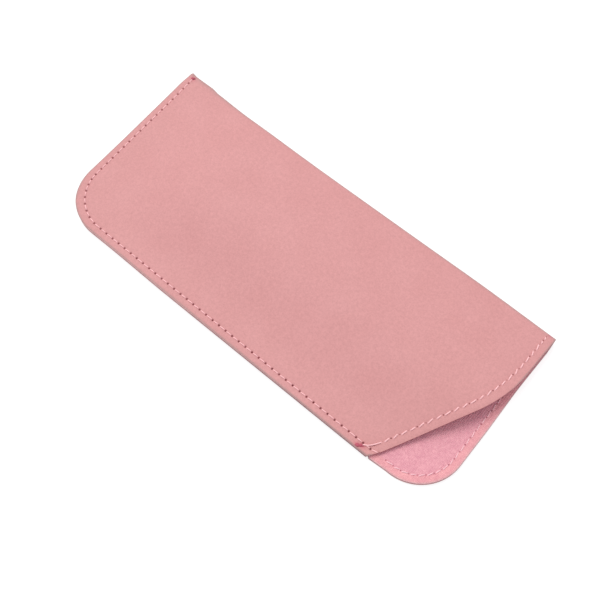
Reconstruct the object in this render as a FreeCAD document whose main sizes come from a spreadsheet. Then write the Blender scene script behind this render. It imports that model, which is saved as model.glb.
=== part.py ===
import FreeCAD, Part

import math
import os

import Sketcher
from FreeCAD import Placement, Rotation, Vector

# Soft slip-in glasses case: one leather blank and one lining blank, bonded together and folded
# along the +Y edge, then stitched along the closed end (-X) and the side (-Y). The mouth is at +X.
# The front wall's mouth edge is scooped, so the back wall stands past it as a thumb tab.
# Frame: underside on Z = 0, X towards the mouth, Y towards the fold, all sizes in millimetres.

DRIVING = [
    ("case_length", 175.0, "closed end to the back wall's mouth edge"),
    ("case_width", 75.5, "stitched side to the fold"),
    ("corner_round", 18.5, "round of the two corners on the stitched side"),
    ("leather_thick", 1.0, "outer leather"),
    ("lining_thick", 0.4, "lining cloth"),
    ("glue_gap", 0.02, "bond line between leather and lining"),
    ("pinch_gap", 0.16, "play between the two lining layers along the seam"),
    ("seam_margin", 6.2, "flat band along the stitched edges"),
    ("seam_head", 1.25, "first needle hole of the joining seam to the fold"),
    ("inset_head", 2.3, "joining seam to the closed end, beside the fold"),
    ("inset_heel", 3.3, "joining seam to both edges at the closed corner"),
    ("inset_toe", 2.65, "joining seam to the stitched side, at the thumb tab's corner"),
    ("inset_rim", 3.4, "joining seam to the back wall's mouth edge"),
    ("seam_round", 16.0, "round of the joining seam at both corners"),
    ("crown_peak", 8.0, "highest point of the front wall"),
    ("crown_run", 40.0, "length over which the front wall rises from the closed end"),
    ("fold_share", 0.42, "share of the crown's rise that is left at the fold"),
    ("fold_line", 34.5, "Y where the flat walls end and the fold begins"),
    ("fold_tuck", 0.55, "how far the fold draws in where the case is open inside"),
    ("mouth_reach", 87.0, "X of the front wall's mouth edge beside the fold"),
    ("scoop_start", 62.2, "X where the front wall's mouth edge leaves the stitched side"),
    ("scoop_slope", 0.536, "X per Y of the slanting mouth edge"),
    ("scoop_top", 44.45, "Y from the stitched side to where slant and upper mouth edge would meet"),
    ("scoop_round", 52.0, "round between the slant and the upper mouth edge"),
    ("lip_foot", 3.25, "Y from the stitched side to where the free lip begins"),
    ("tab_foot", 67.0, "X where the thumb tab's flex line leaves the stitched side"),
    ("tab_head", 8.0, "Y where the thumb tab's flex line meets the mouth edge"),
    ("flex_gap", 0.1, "cut between two stretches of one sheet at a flex line"),
    ("seam_pitch", 3.107, "needle hole to needle hole along the joining seam"),
    ("corner_pitch", 2.85, "needle hole to needle hole round its corners"),
    ("hem_pitch", 3.15, "needle hole to needle hole along the mouth hem"),
    ("thread_wide", 0.45, "thread diameter"),
    ("thread_proud", 0.2, "how far a stitch stands above the surface"),
    ("thread_bite", 0.05, "how far short of each other needle and bobbin thread end inside the sheets"),
    ("hidden_proud", 0.1, "how far a stitch stands above the lining inside"),
    ("hole_long", 0.7, "length of a needle hole along the seam"),
    ("hem_inset", 3.3, "hem stitches to the mouth edge"),
    ("hem_start", 3.3, "first needle hole of the hem to the stitched side, along the slant"),
    ("hem_round", 60.0, "round of the hem stitch line"),
    ("drop_long", 3.6, "length of the melted drop at the hem's end"),
    ("drop_wide", 1.3, "width of the melted drop"),
    ("drop_ahead", 3.9, "middle of the drop past the hem's first needle hole"),
    ("knot_long", 1.4, "length of the melted back-tack"),
    ("knot_wide", 1.1, "width of the melted back-tack"),
]

doc = FreeCAD.newDocument("GlassesCase")
sheet = doc.addObject("Spreadsheet::Sheet", "Dims")
for line, (alias, value, meaning) in enumerate(DRIVING, start=1):
    sheet.set(f"A{line}", meaning)
    sheet.set(f"B{line}", str(value))
    sheet.setAlias(f"B{line}", alias)
doc.recompute()


def dim(alias):
    return float(sheet.get(alias))


def value_of(expression):
    return float(sheet.evalExpression(expression))


HALF_LENGTH = "Dims.case_length / 2"
HALF_WIDTH = "Dims.case_width / 2"
WALL = "(Dims.leather_thick + Dims.glue_gap + Dims.lining_thick)"
EDGE = f"(2 * {WALL} + Dims.pinch_gap)"
LIP_FOOT_X = "Dims.scoop_start + Dims.scoop_slope * Dims.lip_foot"
LIP_FOOT_Y = f"Dims.lip_foot - {HALF_WIDTH}"
SCOOP_CORNER_X = "Dims.scoop_start + Dims.scoop_slope * Dims.scoop_top"
SCOOP_CORNER_Y = f"Dims.scoop_top - {HALF_WIDTH}"

half_length = value_of(HALF_LENGTH)
half_width = value_of(HALF_WIDTH)
wall = value_of(WALL)
edge_thick = value_of(EDGE)
fold_line = dim("fold_line")
lip_foot = Vector(value_of(LIP_FOOT_X), value_of(LIP_FOOT_Y))
lip_head = Vector(dim("mouth_reach"), fold_line)
scoop_foot = Vector(dim("scoop_start"), -half_width)
scoop_corner = Vector(value_of(SCOOP_CORNER_X), value_of(SCOOP_CORNER_Y))
tab_foot = Vector(dim("tab_foot"), -half_width)
tab_head = Vector(half_length, dim("tab_head"))

parts = []


def sub_part(feature, label):
    feature.Label = label
    parts.append(feature)
    return feature


def smooth_step(share):
    t = min(1.0, max(0.0, share))
    return t * t * (3 - 2 * t)


# ---- The front wall's outer surface ----------------------------------------------------------


def length_rise(x):
    """0 on the flat band at the closed end, 1 where the case is fully open inside."""
    return smooth_step((x + half_length - dim("seam_margin")) / dim("crown_run"))


def width_arch(y):
    """0 on the flat band at the stitched side, 1 at the middle, fold_share at the fold."""
    start = dim("seam_margin") - half_width
    middle = (start + fold_line) / 2
    if y <= middle:
        return smooth_step((y - start) / (middle - start))
    return 1 - (1 - dim("fold_share")) * ((y - middle) / (fold_line - middle)) ** 2


def crown(x, y):
    """Height of the front wall's outer surface."""
    return edge_thick + (dim("crown_peak") - edge_thick) * length_rise(x) * width_arch(y)


def crown_normal(x, y):
    step = 0.5
    slope_x = (crown(x + step, y) - crown(x - step, y)) / (2 * step)
    slope_y = (crown(x, y + step) - crown(x, y - step)) / (2 * step)
    return Vector(-slope_x, -slope_y, 1).normalize()


# ---- Flat blanks -----------------------------------------------------------------------------


def flat_blank(name, corners, thick, base, rounded=None, radius=None):
    """A sheet cut to a polygon: corners are pairs of expressions, one of them may be rounded."""
    body = doc.addObject("PartDesign::Body", name)
    plane = [f for f in body.Origin.OriginFeatures if f.Role == "XY_Plane"][0]
    sketch = body.newObject("Sketcher::SketchObject", name + "_outline")
    sketch.AttachmentSupport = [(plane, "")]
    sketch.MapMode = "FlatFace"
    points = [Vector(value_of(x), value_of(y)) for x, y in corners]
    count = len(points)
    for i in range(count):
        sketch.addGeometry(Part.LineSegment(points[i], points[(i + 1) % count]), False)
    for i in range(count):
        sketch.addConstraint(Sketcher.Constraint("Coincident", i, 2, (i + 1) % count, 1))
    for i, (x, y) in enumerate(corners):
        placed = (("DistanceX", points[i].x, x), ("DistanceY", points[i].y, y))
        for kind, distance, expression in placed:
            index = sketch.addConstraint(Sketcher.Constraint(kind, -1, 1, i, 1, distance))
            constraint = f"{kind}_{i}"
            sketch.renameConstraint(index, constraint)
            sketch.setExpression(f"Constraints.{constraint}", expression)
    pad = body.newObject("PartDesign::Pad", name + "_pad")
    pad.Profile = sketch
    pad.setExpression("Length", thick)
    doc.recompute()
    if rounded is not None:
        fillet = body.newObject("PartDesign::Fillet", name + "_round")
        fillet.Base = (pad, [upright_edge(pad.Shape, points[rounded])])
        fillet.setExpression("Radius", radius)
        body.Tip = fillet
    body.setExpression("Placement.Base.z", base)
    return body


def upright_edge(shape, corner):
    """Name of the edge that stands on the outline's corner."""
    for number, edge in enumerate(shape.Edges, start=1):
        if all(math.hypot(v.X - corner.x, v.Y - corner.y) < 1e-4 for v in edge.Vertexes):
            return f"Edge{number}"
    raise ValueError(f"no upright edge at {corner}")


def slid(corner, line, way, towards):
    """A flex line's end, slid along the sheet's own edge until it is half the gap off the line."""
    run = (line[1] - line[0]).normalize()
    per_gap = towards / 2 / (way.x * run.y - way.y * run.x)
    return tuple(
        f"{expression} + {step * per_gap:.6f} * Dims.flex_gap" for expression, step in zip(corner, way)
    )


LIP_LINE = (lip_foot, lip_head)
TAB_LINE = (tab_foot, tab_head)
LIP_FOOT = (LIP_FOOT_X, LIP_FOOT_Y)
LIP_HEAD = ("Dims.mouth_reach", "Dims.fold_line")
TAB_FOOT = ("Dims.tab_foot", f"-{HALF_WIDTH}")
TAB_HEAD = (HALF_LENGTH, "Dims.tab_head")
ALONG_X = Vector(1, 0, 0)
ALONG_Y = Vector(0, 1, 0)
ALONG_SLANT = (scoop_corner - scoop_foot).normalize()
ALONG_MOUTH = (lip_head - scoop_corner).normalize()

CLOSED_FOLD = (f"-{HALF_LENGTH}", "Dims.fold_line")
CLOSED_CORNER = (f"-{HALF_LENGTH}", f"-{HALF_WIDTH}")
back_outline = [
    CLOSED_FOLD,
    CLOSED_CORNER,
    slid(TAB_FOOT, TAB_LINE, ALONG_X, -1),
    slid(TAB_HEAD, TAB_LINE, ALONG_Y, -1),
    (HALF_LENGTH, "Dims.fold_line"),
]
tab_outline = [
    slid(TAB_FOOT, TAB_LINE, ALONG_X, 1),
    (HALF_LENGTH, f"-{HALF_WIDTH}"),
    slid(TAB_HEAD, TAB_LINE, ALONG_Y, 1),
]
front_outline = [
    CLOSED_FOLD,
    CLOSED_CORNER,
    ("Dims.scoop_start", f"-{HALF_WIDTH}"),
    slid(LIP_FOOT, LIP_LINE, ALONG_SLANT, -1),
    slid(LIP_HEAD, LIP_LINE, ALONG_X, -1),
]
lip_outline = [
    slid(LIP_FOOT, LIP_LINE, ALONG_SLANT, 1),
    (SCOOP_CORNER_X, SCOOP_CORNER_Y),
    slid(LIP_HEAD, LIP_LINE, ALONG_MOUTH, 1),
]

LINING_BASE = "Dims.leather_thick + Dims.glue_gap"
for layer, layer_thick, layer_base in (
    ("leather", "Dims.leather_thick", "0"),
    ("lining", "Dims.lining_thick", LINING_BASE),
):
    back = flat_blank(f"{layer}_back", back_outline, layer_thick, layer_base, 1, "Dims.corner_round")
    sub_part(back, f"{layer}_back_panel")
    tab = flat_blank(f"{layer}_thumb", tab_outline, layer_thick, layer_base, 1, "Dims.corner_round")
    sub_part(tab, f"{layer}_tab")

# ---- Arched front wall -----------------------------------------------------------------------

front_cutter = flat_blank(
    "front_cutter", front_outline, "2 * Dims.crown_peak", "0", 1, "Dims.corner_round"
)
lip_cutter = flat_blank("lip_cutter", lip_outline, "2 * Dims.crown_peak", "0", 1, "Dims.scoop_round")


def arched_layer(name, drop, thick):
    """One layer of the front wall over the whole plan: drop is its depth below the crown."""
    overhang = 1.5
    rows_x = 36
    rows_y = 22
    low_x = -half_length - overhang
    low_y = -half_width - overhang
    span_x = 2 * (half_length + overhang)
    span_y = fold_line + overhang - low_y
    grid = []
    for i in range(rows_x):
        x = low_x + span_x * i / (rows_x - 1)
        row = []
        for j in range(rows_y):
            y = low_y + span_y * j / (rows_y - 1)
            row.append(Vector(x, y, crown(x, y) - drop))
        grid.append(row)
    surface = Part.BSplineSurface()
    surface.interpolate(grid)
    feature = doc.addObject("Part::Feature", name)
    feature.Shape = surface.toShape().extrude(Vector(0, 0, -thick))
    return feature


front_layers = {
    "leather": arched_layer("leather_arch", 0, dim("leather_thick")),
    "lining": arched_layer("lining_arch", dim("leather_thick") + dim("glue_gap"), dim("lining_thick")),
}
for layer, arch in front_layers.items():
    for place, cutter in (("front_panel", front_cutter), ("lip", lip_cutter)):
        common = doc.addObject("Part::Common", f"{layer}_{place}_shape")
        common.Base = arch
        common.Tool = cutter
        sub_part(common, f"{layer}_{place}")

# ---- Fold ------------------------------------------------------------------------------------


def fold_section(x, outer, inner):
    """Half-round section of one layer, between two depths below the outer surface."""
    radius = crown(x, fold_line) / 2
    centre = half_width - dim("fold_tuck") * length_rise(x) - radius
    corners = []
    for depth in (outer, inner):
        top = 2 * radius - depth
        start = Vector(x, fold_line, depth)
        low = Vector(x, centre, depth)
        far = Vector(x, centre + radius - depth, radius)
        high = Vector(x, centre, top)
        corners.append((start, low, far, high, Vector(x, fold_line, top)))
    (a, b, c, d, e), (f, g, p, q, r) = corners
    edges = [
        Part.LineSegment(a, b),
        Part.Arc(b, c, d),
        Part.LineSegment(d, e),
        Part.LineSegment(e, r),
        Part.LineSegment(r, q),
        Part.Arc(q, p, g),
        Part.LineSegment(g, f),
        Part.LineSegment(f, a),
    ]
    return Part.Wire([edge.toShape() for edge in edges])


def fold_layer(name, outer, inner):
    flat_end = -half_length + dim("seam_margin")
    stations = [-half_length, flat_end]
    steps = 6
    for i in range(1, steps + 1):
        stations.append(flat_end + dim("crown_run") * i / steps)
    stations.append(dim("mouth_reach"))
    feature = doc.addObject("Part::Feature", name)
    feature.Shape = Part.makeLoft([fold_section(x, outer, inner) for x in stations], True, True)
    return feature


sub_part(fold_layer("leather_bend", 0, dim("leather_thick")), "leather_fold")
sub_part(fold_layer("lining_bend", dim("leather_thick") + dim("glue_gap"), wall), "lining_fold")

# ---- Stitch lines ----------------------------------------------------------------------------


class StitchLine:
    """A stitch line in plan, made of straight runs and tangent arcs, measured by its length."""

    def __init__(self, corners, radii):
        runs = []
        here = corners[0]
        for i in range(1, len(corners) - 1):
            before = (corners[i] - corners[i - 1]).normalize()
            after = (corners[i + 1] - corners[i]).normalize()
            turn = before.getAngle(after)
            reach = radii[i - 1] * math.tan(turn / 2)
            side = 1 if before.cross(after).z > 0 else -1
            start = corners[i] - before * reach
            middle = start + Vector(-before.y, before.x) * (side * radii[i - 1])
            runs.append(("line", here, start, None, 0))
            runs.append(("arc", start, middle, radii[i - 1], side * turn))
            here = corners[i] + after * reach
        runs.append(("line", here, corners[-1], None, 0))
        self.runs = runs
        self.lengths = [abs(r[3] * r[4]) if r[0] == "arc" else (r[2] - r[1]).Length for r in runs]
        self.length = sum(self.lengths)

    def at(self, distance):
        """Point and direction at a distance along the line."""
        for run, span in zip(self.runs, self.lengths):
            if distance <= span or run is self.runs[-1]:
                break
            distance -= span
        kind, start, other, radius, turn = run
        if kind == "line":
            direction = (other - start).normalize()
            return start + direction * distance, direction
        angle = math.copysign(distance / radius, turn)
        spoke = start - other
        turned = Rotation(Vector(0, 0, 1), math.degrees(angle)).multVec(spoke)
        direction = Vector(-turned.y, turned.x).normalize() * math.copysign(1, turn)
        return other + turned, direction

    def turns_at(self, distance):
        for run, span in zip(self.runs, self.lengths):
            if distance <= span:
                return run[0] == "arc"
            distance -= span
        return False

    def holes(self, pitch, corner_pitch):
        """Needle holes, which may be closer together round the corners."""
        found = []
        distance = 0
        while distance <= self.length:
            found.append(self.at(distance))
            distance += corner_pitch if self.turns_at(distance) else pitch
        return found


def stitch_solid(length, depth, proud):
    """One stitch: a bar on the surface whose two ends turn down into their needle holes."""
    thick = dim("thread_wide")
    half = length / 2
    inside = half - thick
    bend = 0.8 * thick
    lean = bend * (1 - math.sqrt(0.5))
    outline = [
        Part.LineSegment(Vector(-half, 0, -depth), Vector(-half, 0, proud - bend)),
        Part.Arc(
            Vector(-half, 0, proud - bend),
            Vector(-half + lean, 0, proud - lean),
            Vector(-half + bend, 0, proud),
        ),
        Part.LineSegment(Vector(-half + bend, 0, proud), Vector(half - bend, 0, proud)),
        Part.Arc(
            Vector(half - bend, 0, proud),
            Vector(half - lean, 0, proud - lean),
            Vector(half, 0, proud - bend),
        ),
        Part.LineSegment(Vector(half, 0, proud - bend), Vector(half, 0, -depth)),
        Part.LineSegment(Vector(half, 0, -depth), Vector(inside, 0, -depth)),
        Part.LineSegment(Vector(inside, 0, -depth), Vector(inside, 0, proud - thick)),
        Part.LineSegment(Vector(inside, 0, proud - thick), Vector(-inside, 0, proud - thick)),
        Part.LineSegment(Vector(-inside, 0, proud - thick), Vector(-inside, 0, -depth)),
        Part.LineSegment(Vector(-inside, 0, -depth), Vector(-half, 0, -depth)),
    ]
    face = Part.Face(Part.Wire([edge.toShape() for edge in outline]))
    face.translate(Vector(0, -thick / 2, 0))
    return face.extrude(Vector(0, thick, 0))


def seated(solid, place, along, out):
    """The solid moved so that its X follows the seam and its Z points out of the surface."""
    across = out.cross(along).normalize()
    along = across.cross(out)
    moved = solid.copy()
    moved.Placement = Placement(place, Rotation(along, across, out, "ZXY"))
    return moved


def thread_group(label, stitches, height, out, depth, proud):
    """A run of stitches between neighbouring holes, on a surface of the given height."""
    solids = []
    for (start, _), (end, _) in stitches:
        length = (end - start).Length - dim("hole_long")
        middle = (start + end) * 0.5
        place = Vector(middle.x, middle.y, height(middle.x, middle.y))
        normal = out(middle.x, middle.y)
        stitch = stitch_solid(length, depth, proud)
        solids.append(seated(stitch, place, (end - start).normalize(), normal))
    feature = doc.addObject("Part::Feature", label + "_stitches")
    feature.Shape = Part.makeCompound(solids)
    sub_part(feature, label)


def side_of(line, point):
    """Distance of a point past a flex line, positive on the free side."""
    foot, head = line
    run = (head - foot).normalize()
    offset = point - foot
    return offset.x * run.y - offset.y * run.x


def stays(line, stitch):
    """True if both holes are clear of the flex line on its fixed side."""
    return all(side_of(line, point) < -dim("thread_wide") for point, _ in stitch)


def frees(line, stitch):
    """True if both holes are clear of the flex line on its free side."""
    return all(side_of(line, point) > dim("thread_wide") for point, _ in stitch)


def under_front(stitch):
    """True if both holes go through the front wall too, not only through the back wall."""
    slant = (scoop_foot, scoop_corner)
    return all(point.x < dim("tab_foot") and side_of(slant, point) < 0 for point, _ in stitch)


seam_line = StitchLine(
    [
        Vector(dim("inset_head") - half_length, half_width - dim("seam_head")),
        Vector(dim("inset_heel") - half_length, dim("inset_heel") - half_width),
        Vector(half_length - dim("inset_rim"), dim("inset_toe") - half_width),
        Vector(half_length - dim("inset_rim"), fold_line - dim("inset_rim")),
    ],
    [dim("seam_round"), dim("seam_round")],
)
seam_holes = seam_line.holes(dim("seam_pitch"), dim("corner_pitch"))
seam_stitches = list(zip(seam_holes, seam_holes[1:]))
through_both = [s for s in seam_stitches if under_front(s)]
# The stitch that would pass under the mouth edge, and each one across a flex line, is left out.
past_front = seam_stitches[len(through_both) + 1 :]
rim_fixed = [s for s in past_front if stays(TAB_LINE, s)]
rim_free = [s for s in past_front if frees(TAB_LINE, s)]


def up(x, y):
    return Vector(0, 0, 1)


def down(x, y):
    return Vector(0, 0, -1)


def level(height):
    return lambda x, y: height


proud = dim("thread_proud")
both_depth = edge_thick / 2 - dim("thread_bite")
wall_depth = wall / 2 - dim("thread_bite")
thread_group("seam_needle_thread", through_both, level(edge_thick), up, both_depth, proud)
thread_group("seam_bobbin_thread", through_both, level(0), down, both_depth, 0)
thread_group("rim_needle_thread", rim_fixed, level(wall), up, wall_depth, proud)
thread_group("rim_bobbin_thread", rim_fixed, level(0), down, wall_depth, 0)
thread_group("tab_needle_thread", rim_free, level(wall), up, wall_depth, proud)
thread_group("tab_bobbin_thread", rim_free, level(0), down, wall_depth, 0)

off_slant = Vector(-ALONG_SLANT.y, ALONG_SLANT.x)
off_mouth = Vector(-ALONG_MOUTH.y, ALONG_MOUTH.x)
off_corner = (off_slant + off_mouth) / (1 + off_slant.dot(off_mouth))
hem_foot = scoop_foot + off_slant * dim("hem_inset") + ALONG_SLANT * dim("hem_start")
hem_line = StitchLine(
    [
        hem_foot,
        scoop_corner + off_corner * dim("hem_inset"),
        lip_head + off_mouth * dim("hem_inset"),
    ],
    [dim("hem_round")],
)
hem_holes = hem_line.holes(dim("hem_pitch"), dim("hem_pitch"))
hem_stitches = list(zip(hem_holes, hem_holes[1:]))
hem_fixed = [s for s in hem_stitches[1:] if stays(LIP_LINE, s)]
hem_free = [s for s in hem_stitches[1:] if frees(LIP_LINE, s)]


def under_crown(x, y):
    return crown(x, y) - wall


def crown_inward(x, y):
    return crown_normal(x, y) * -1


hidden_proud = dim("hidden_proud")
thread_group("hem_needle_thread", hem_free, crown, crown_normal, wall_depth, proud)
thread_group("hem_bobbin_thread", hem_free, under_crown, crown_inward, wall_depth, hidden_proud)
thread_group("hem_end_needle_thread", hem_fixed, crown, crown_normal, wall_depth, proud)
thread_group("hem_end_bobbin_thread", hem_fixed, under_crown, crown_inward, wall_depth, hidden_proud)
# The hem's first stitch is the loose one, which runs out into the melted end.
thread_group("hem_thread_tail", hem_stitches[:1], crown, crown_normal, wall_depth, proud)

# ---- Melted thread ends ----------------------------------------------------------------------


def melted_end(label, place, along, length, width):
    """A drop of melted thread, flattened on the leather and half sunk in it."""
    ball = Part.makeSphere(0.5)
    stretch = FreeCAD.Matrix()
    stretch.scale(length, width, dim("thread_wide") * 2)
    drop = seated(ball.transformGeometry(stretch), place, along, Vector(0, 0, 1))
    feature = doc.addObject("Part::Feature", label + "_drop")
    feature.Shape = drop
    sub_part(feature, label)


on_edge = Vector(0, 0, edge_thick)
tail_way = Vector(-ALONG_SLANT.y, -ALONG_SLANT.x)
drop_centre = hem_holes[0][0] + tail_way * dim("drop_ahead") + on_edge
melted_end("melted_thread_end", drop_centre, tail_way, dim("drop_long"), dim("drop_wide"))
knot_centre = seam_holes[0][0] + on_edge
melted_end("backtack_knot", knot_centre, ALONG_Y, dim("knot_long"), dim("knot_wide"))

# ---- Check and write -------------------------------------------------------------------------

doc.recompute()
for feature in doc.Objects:
    if "Invalid" in feature.State or "Error" in feature.State:
        raise RuntimeError(f"{feature.Name} failed: {feature.State}")
for feature in parts:
    if feature.Shape.isNull() or not feature.Shape.isValid() or feature.Shape.Volume <= 0:
        raise RuntimeError(f"{feature.Label} has no valid shape")

os.makedirs("parts", exist_ok=True)
for feature in parts:
    feature.Shape.exportStep(f"parts/{feature.Label}.step")
    print(f"{feature.Label}: {len(feature.Shape.Solids)} solids, {feature.Shape.Volume:.1f} mm3")
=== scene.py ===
import math

import bmesh
import bpy
import numpy as np
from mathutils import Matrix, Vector, kdtree
from mathutils.geometry import delaunay_2d_cdt


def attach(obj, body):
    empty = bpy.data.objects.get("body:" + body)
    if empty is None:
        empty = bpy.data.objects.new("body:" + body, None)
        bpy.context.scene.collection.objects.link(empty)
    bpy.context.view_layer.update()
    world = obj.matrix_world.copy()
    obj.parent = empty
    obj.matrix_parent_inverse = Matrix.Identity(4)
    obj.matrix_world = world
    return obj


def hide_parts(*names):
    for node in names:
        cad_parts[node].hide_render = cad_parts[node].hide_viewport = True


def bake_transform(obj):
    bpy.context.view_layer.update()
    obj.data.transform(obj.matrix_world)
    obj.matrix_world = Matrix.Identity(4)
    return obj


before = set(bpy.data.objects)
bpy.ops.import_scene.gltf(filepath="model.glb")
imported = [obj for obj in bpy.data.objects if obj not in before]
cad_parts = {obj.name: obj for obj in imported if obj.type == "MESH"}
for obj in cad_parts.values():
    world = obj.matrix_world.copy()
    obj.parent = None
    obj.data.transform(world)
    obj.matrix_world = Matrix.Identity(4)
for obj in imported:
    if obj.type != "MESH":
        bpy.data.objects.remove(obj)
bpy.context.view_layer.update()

# Soft slip-in glasses case. Lengths below are millimetres until they go into a mesh.
# X runs towards the open mouth, Y towards the folded edge, Z up out of the front wall.
MM = 0.001
HALF_LENGTH, HALF_WIDTH = 87.5, 37.75
# Round of the closed corner on the stitched side.
CORNER = 18.5

# Leather, bond line and lining, and the play between the two walls. They add up to one wall's
# thickness and to the case's own thickness along its seam.
LEATHER, GLUE, LINING, PLAY = 1.0, 0.02, 0.4, 0.16
WALL = LEATHER + GLUE + LINING
EDGE = 2 * WALL + PLAY

# The front wall: its flat margin, the run over which it rises from the closed end, its peak, and
# the share of the rise that is left at the fold.
MARGIN, RISE_RUN, PEAK, FOLD_SHARE = 6.2, 40.0, 8.0, 0.42
# Y where the flat walls end, and X of the front wall's mouth edge beside the fold.
FOLD_LINE, MOUTH = 34.5, 87.0
# The fold in the flat cut: where it starts to bend and how long it is. FOLD_NOSE is about its
# middle there, and BUTT is the Y under the case where front and back sheet meet.
WRAP_FROM, WRAP_LONG, FOLD_NOSE, BUTT = 31.0, 15.0, 38.8, 31.5
# The fold's section: how far from its nose the round begins and how high the nose is, as shares of
# the wall's height, and the length of a quarter-round for a radius of 1.
ROUND_SHARE, NOSE_SHARE, QUARTER_LONG = 0.53, 0.48, 1.57

# The front wall's scooped mouth edge: X where it leaves the stitched side, X per Y of its slant,
# Y from that side to where slant and upper edge would meet, and the round between them.
SCOOP_START, SCOOP_SLOPE, SCOOP_TOP, SCOOP_ROUND = 62.2, 0.536, 44.45, 52.0
# Flex lines. The lip's leaves the slant at LIP_START from the stitched side. The tab's runs from X
# TAB_START on the stitched side to Y TAB_TOP on the back wall's mouth edge.
LIP_START, TAB_START, TAB_TOP = 3.25, 67.0, 8.0
# How far the tab curls up at rest, and over what length.
TAB_CURL, CURL_RUN = 1.5, 22

# The joining seam's distance from the edge: from the closed end at its head, from the closed end
# and from the side at the closed corner, from the side at the toe, and from the rim. FIRST_HOLE is
# from the fold to its first hole. It steps and drifts further in past the scoop.
SEAM_HEAD, SEAM_HEEL, HEEL_SIDE, SEAM_TOE, SEAM_RIM = 2.8, 3.8, 3.3, 2.65, 3.05
FIRST_HOLE, SEAM_STEP, SEAM_DRIFT = 1.25, 0.6, 0.35
# Stitch lengths: along the seam, round its corners, along the hem and at the hem's end.
SEAM_PITCH, CORNER_PITCH, HEM_PITCH, HEM_END_PITCH = 3.105, 2.87, 3.15, 2.1
# Where the seam's bunched stitches begin along it, for how long, and how much shorter they are.
FIRST_BEND, BUNCH_RUN, BUNCHED = 55.0, 25, 0.7
# The hem: distance from the mouth edge, first hole, round, and where its short stitches begin.
HEM_INSET, HEM_START, HEM_ROUND, HEM_END = 3.0, 3.3, 60.0, 69.0
# Thickness of the thread.
THREAD = 0.45

# The flat cut's mesh coordinates for the materials run 100 mm to the unit.
FLAT_UNIT = 100
# Vertices closer than this, in metres, are one.
SAME_PLACE = 2e-6

# ---- The sheets' shapes ------------------------------------------------------------------------


def smooth(t):
    """A soft step from 0 to 1 as t goes from 0 to 1."""
    t = np.clip(t, 0.0, 1.0)
    return t * t * (3 - 2 * t)


def crown(x, y):
    """Height of the front wall's outer surface: flat at the seams, arched over the pocket, slightly
    rippled by slack, and not pressed down quite flat at the closed end beside the fold."""
    start = MARGIN - HALF_WIDTH
    middle = (start + FOLD_LINE) / 2
    rising = smooth((y - start) / (middle - start))
    falling = 1 - (1 - FOLD_SHARE) * ((y - middle) / (FOLD_LINE - middle)) ** 2
    arch = np.where(y <= middle, rising, falling)
    along = smooth((x + HALF_LENGTH - MARGIN) / RISE_RUN)
    slack = 0.10 * np.sin(x / 9.5 + y / 15 + 0.6) + 0.07 * np.sin(x / 21 - y / 8.5 + 2.1)
    unpressed = 0.3 * smooth((y - 24) / 12) * smooth((-62 - x) / 16)
    return EDGE + along * arch * (PEAK - EDGE + slack) + unpressed


def fold_edge(x):
    """Y of the folded edge. It stands out at the closed end, past a kink, draws in where the pocket
    is open inside, and swells a little before the mouth."""
    kink = 0.5 * (1 - smooth((x + 75.8) / 3.0)) + 0.45 * smooth((-84.3 - x) / 3)
    tail = 0.88 * (1 - smooth((x + 76) / 22))
    waist = -0.4 * np.exp(-(((x + 22) / 32) ** 2))
    swell = 0.3 * np.exp(-(((x - 58) / 22) ** 2))
    return 37.05 + kink + tail + waist + swell


def quarter(p0, t0, p3, t3, u):
    """Point and direction, at share u, on a quarter-round from p0 heading t0 to p3 heading t3."""
    handle = 0.5523
    span_a = abs(p3[0] - p0[0])
    span_b = abs(p3[1] - p0[1])
    a = handle * np.where(np.abs(t0[0]) > 0.5, span_a, span_b)
    b = handle * np.where(np.abs(t3[0]) > 0.5, span_a, span_b)
    out, way = [], []
    for i in (0, 1):
        p1 = p0[i] + a * t0[i]
        p2 = p3[i] - b * t3[i]
        out.append((1 - u) ** 3 * p0[i] + 3 * (1 - u) ** 2 * u * p1 + 3 * (1 - u) * u**2 * p2 + u**3 * p3[i])
        way.append(3 * (1 - u) ** 2 * (p1 - p0[i]) + 6 * (1 - u) * u * (p2 - p1) + 3 * u**2 * (p3[i] - p2))
    return out, way


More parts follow.
